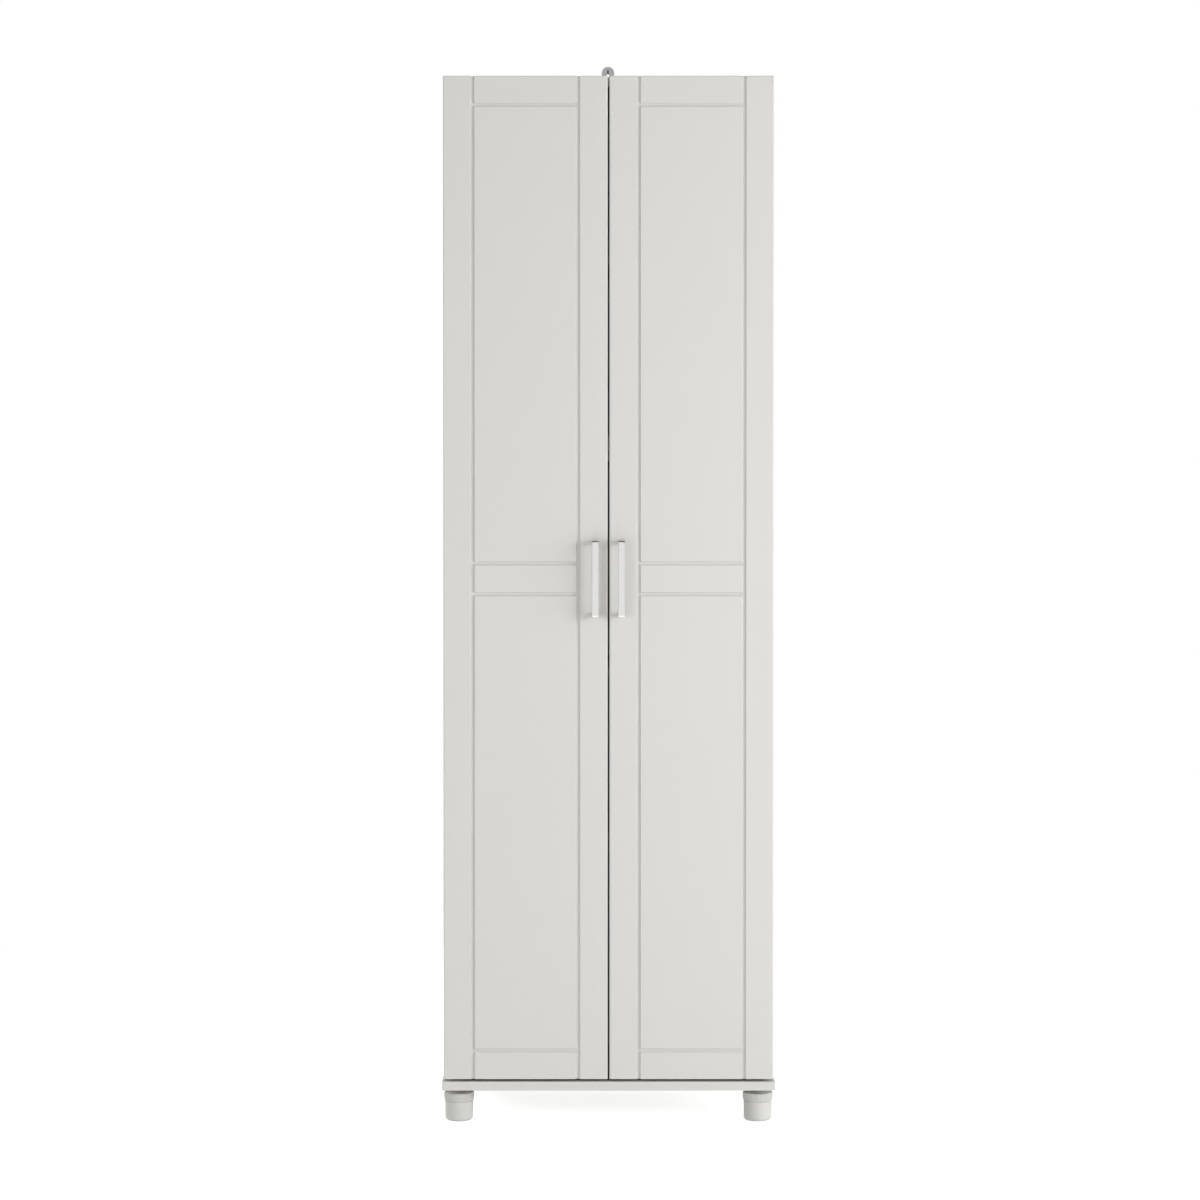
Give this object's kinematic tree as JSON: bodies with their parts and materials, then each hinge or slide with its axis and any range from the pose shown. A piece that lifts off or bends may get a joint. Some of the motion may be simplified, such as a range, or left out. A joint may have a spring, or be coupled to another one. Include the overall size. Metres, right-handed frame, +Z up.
{
  "type": "garage cabinet",
  "caption": "Tall two-door storage cabinet with grooved door fronts, bar pulls, shelves on pins and ribbed levelling feet.",
  "frame": {"origin": "on the floor, in the middle of the whole object's plan (width and depth)", "axes": "+Z up; +X to the right seen from the front; the doors face -Y"},
  "size_m": [0.596, 0.4212, 1.9433],
  "materials": {
    "carcass_board": "light warm grey melamine laminate on chipboard, satin",
    "door_board": "light warm grey laminate with routed grooves, satin",
    "back_board": "thin hardboard, brown outside, light grey face inside",
    "nickel_handle": "brushed satin nickel",
    "nickel_hinge": "nickel-plated pressed steel",
    "zinc_hardware": "dull zinc plate",
    "foot_plastic": "moulded light grey plastic, satin",
    "catch_plastic": "moulded off-white plastic",
    "soft_pad": "thin black foam rubber"
  },
  "bodies": {
    "cabinet": {"bottom_panel": "carcass_board", "left_side_panel": "carcass_board", "right_side_panel": "carcass_board", "top_panel": "carcass_board", "fixed_shelf": "carcass_board", "lower_shelf": "carcass_board", "middle_shelf": "carcass_board", "upper_shelf": "carcass_board", "back_panel": "back_board", "pin_lower_front_left": "zinc_hardware", "pin_lower_front_right": "zinc_hardware", "pin_lower_back_left": "zinc_hardware", "pin_lower_back_right": "zinc_hardware", "pin_middle_front_left": "zinc_hardware", "pin_middle_front_right": "zinc_hardware", "pin_middle_back_left": "zinc_hardware", "pin_middle_back_right": "zinc_hardware", "pin_upper_front_left": "zinc_hardware", "pin_upper_front_right": "zinc_hardware", "pin_upper_back_left": "zinc_hardware", "pin_upper_back_right": "zinc_hardware", "left_hinge_arm_lower": "nickel_hinge", "left_hinge_arm_middle": "nickel_hinge", "left_hinge_arm_upper": "nickel_hinge", "right_hinge_arm_lower": "nickel_hinge", "right_hinge_arm_middle": "nickel_hinge", "right_hinge_arm_upper": "nickel_hinge", "magnetic_catch": "catch_plastic", "wall_bracket": "zinc_hardware", "bracket_screw": "zinc_hardware", "wall_pad": "soft_pad", "foot_stud_front_left": "zinc_hardware", "foot_stud_front_right": "zinc_hardware", "foot_stud_back_left": "zinc_hardware", "foot_stud_back_right": "zinc_hardware"},
    "left_door": {"left_door": "door_board", "left_handle": "nickel_handle", "left_handle_screw_lower": "zinc_hardware", "left_handle_screw_upper": "zinc_hardware", "left_strike_plate": "zinc_hardware", "left_hinge_cup_lower": "nickel_hinge", "left_hinge_cup_middle": "nickel_hinge", "left_hinge_cup_upper": "nickel_hinge"},
    "right_door": {"right_door": "door_board", "right_handle": "nickel_handle", "right_handle_screw_lower": "zinc_hardware", "right_handle_screw_upper": "zinc_hardware", "right_strike_plate": "zinc_hardware", "right_hinge_cup_lower": "nickel_hinge", "right_hinge_cup_middle": "nickel_hinge", "right_hinge_cup_upper": "nickel_hinge"},
    "foot_front_left": {"foot_cup_front_left": "foot_plastic"},
    "ring_front_left": {"foot_ring_front_left": "foot_plastic"},
    "foot_front_right": {"foot_cup_front_right": "foot_plastic"},
    "ring_front_right": {"foot_ring_front_right": "foot_plastic"},
    "foot_back_left": {"foot_cup_back_left": "foot_plastic"},
    "ring_back_left": {"foot_ring_back_left": "foot_plastic"},
    "foot_back_right": {"foot_cup_back_right": "foot_plastic"},
    "ring_back_right": {"foot_ring_back_right": "foot_plastic"}
  },
  "joints": [
    {"name": "left_door_hinge", "type": "hinge", "parent": "cabinet", "child": "left_door", "pos_m": [-0.2897, -0.17265, 0.97555], "axis": [0, 0, -1], "range_deg": [0, 110]},
    {"name": "right_door_hinge", "type": "hinge", "parent": "cabinet", "child": "right_door", "pos_m": [0.2897, -0.17265, 0.97555], "axis": [0, 0, 1], "range_deg": [0, 110]},
    {"name": "foot_lift_front_left", "type": "slide", "parent": "cabinet", "child": "foot_front_left", "axis": [0, 0, -1], "range_m": [0, 0.012]},
    {"name": "ring_turn_front_left", "type": "hinge", "parent": "foot_front_left", "child": "ring_front_left", "pos_m": [-0.269, -0.13865, 0.04], "axis": [0, 0, -1], "range_deg": [0, 2880]},
    {"name": "foot_lift_front_right", "type": "slide", "parent": "cabinet", "child": "foot_front_right", "axis": [0, 0, -1], "range_m": [0, 0.012]},
    {"name": "ring_turn_front_right", "type": "hinge", "parent": "foot_front_right", "child": "ring_front_right", "pos_m": [0.269, -0.13865, 0.04], "axis": [0, 0, -1], "range_deg": [0, 2880]},
    {"name": "foot_lift_back_left", "type": "slide", "parent": "cabinet", "child": "foot_back_left", "axis": [0, 0, -1], "range_m": [0, 0.012]},
    {"name": "ring_turn_back_left", "type": "hinge", "parent": "foot_back_left", "child": "ring_back_left", "pos_m": [-0.269, 0.16865, 0.04], "axis": [0, 0, -1], "range_deg": [0, 2880]},
    {"name": "foot_lift_back_right", "type": "slide", "parent": "cabinet", "child": "foot_back_right", "axis": [0, 0, -1], "range_m": [0, 0.012]},
    {"name": "ring_turn_back_right", "type": "hinge", "parent": "foot_back_right", "child": "ring_back_right", "pos_m": [0.269, 0.16865, 0.04], "axis": [0, 0, -1], "range_deg": [0, 2880]}
  ],
  "couplings": [
    {"joint": "foot_lift_front_left", "follows": "ring_turn_front_left", "m_per_rad": 0.0002387},
    {"joint": "foot_lift_front_right", "follows": "ring_turn_front_right", "m_per_rad": 0.0002387},
    {"joint": "foot_lift_back_left", "follows": "ring_turn_back_left", "m_per_rad": 0.0002387},
    {"joint": "foot_lift_back_right", "follows": "ring_turn_back_right", "m_per_rad": 0.0002387}
  ]
}
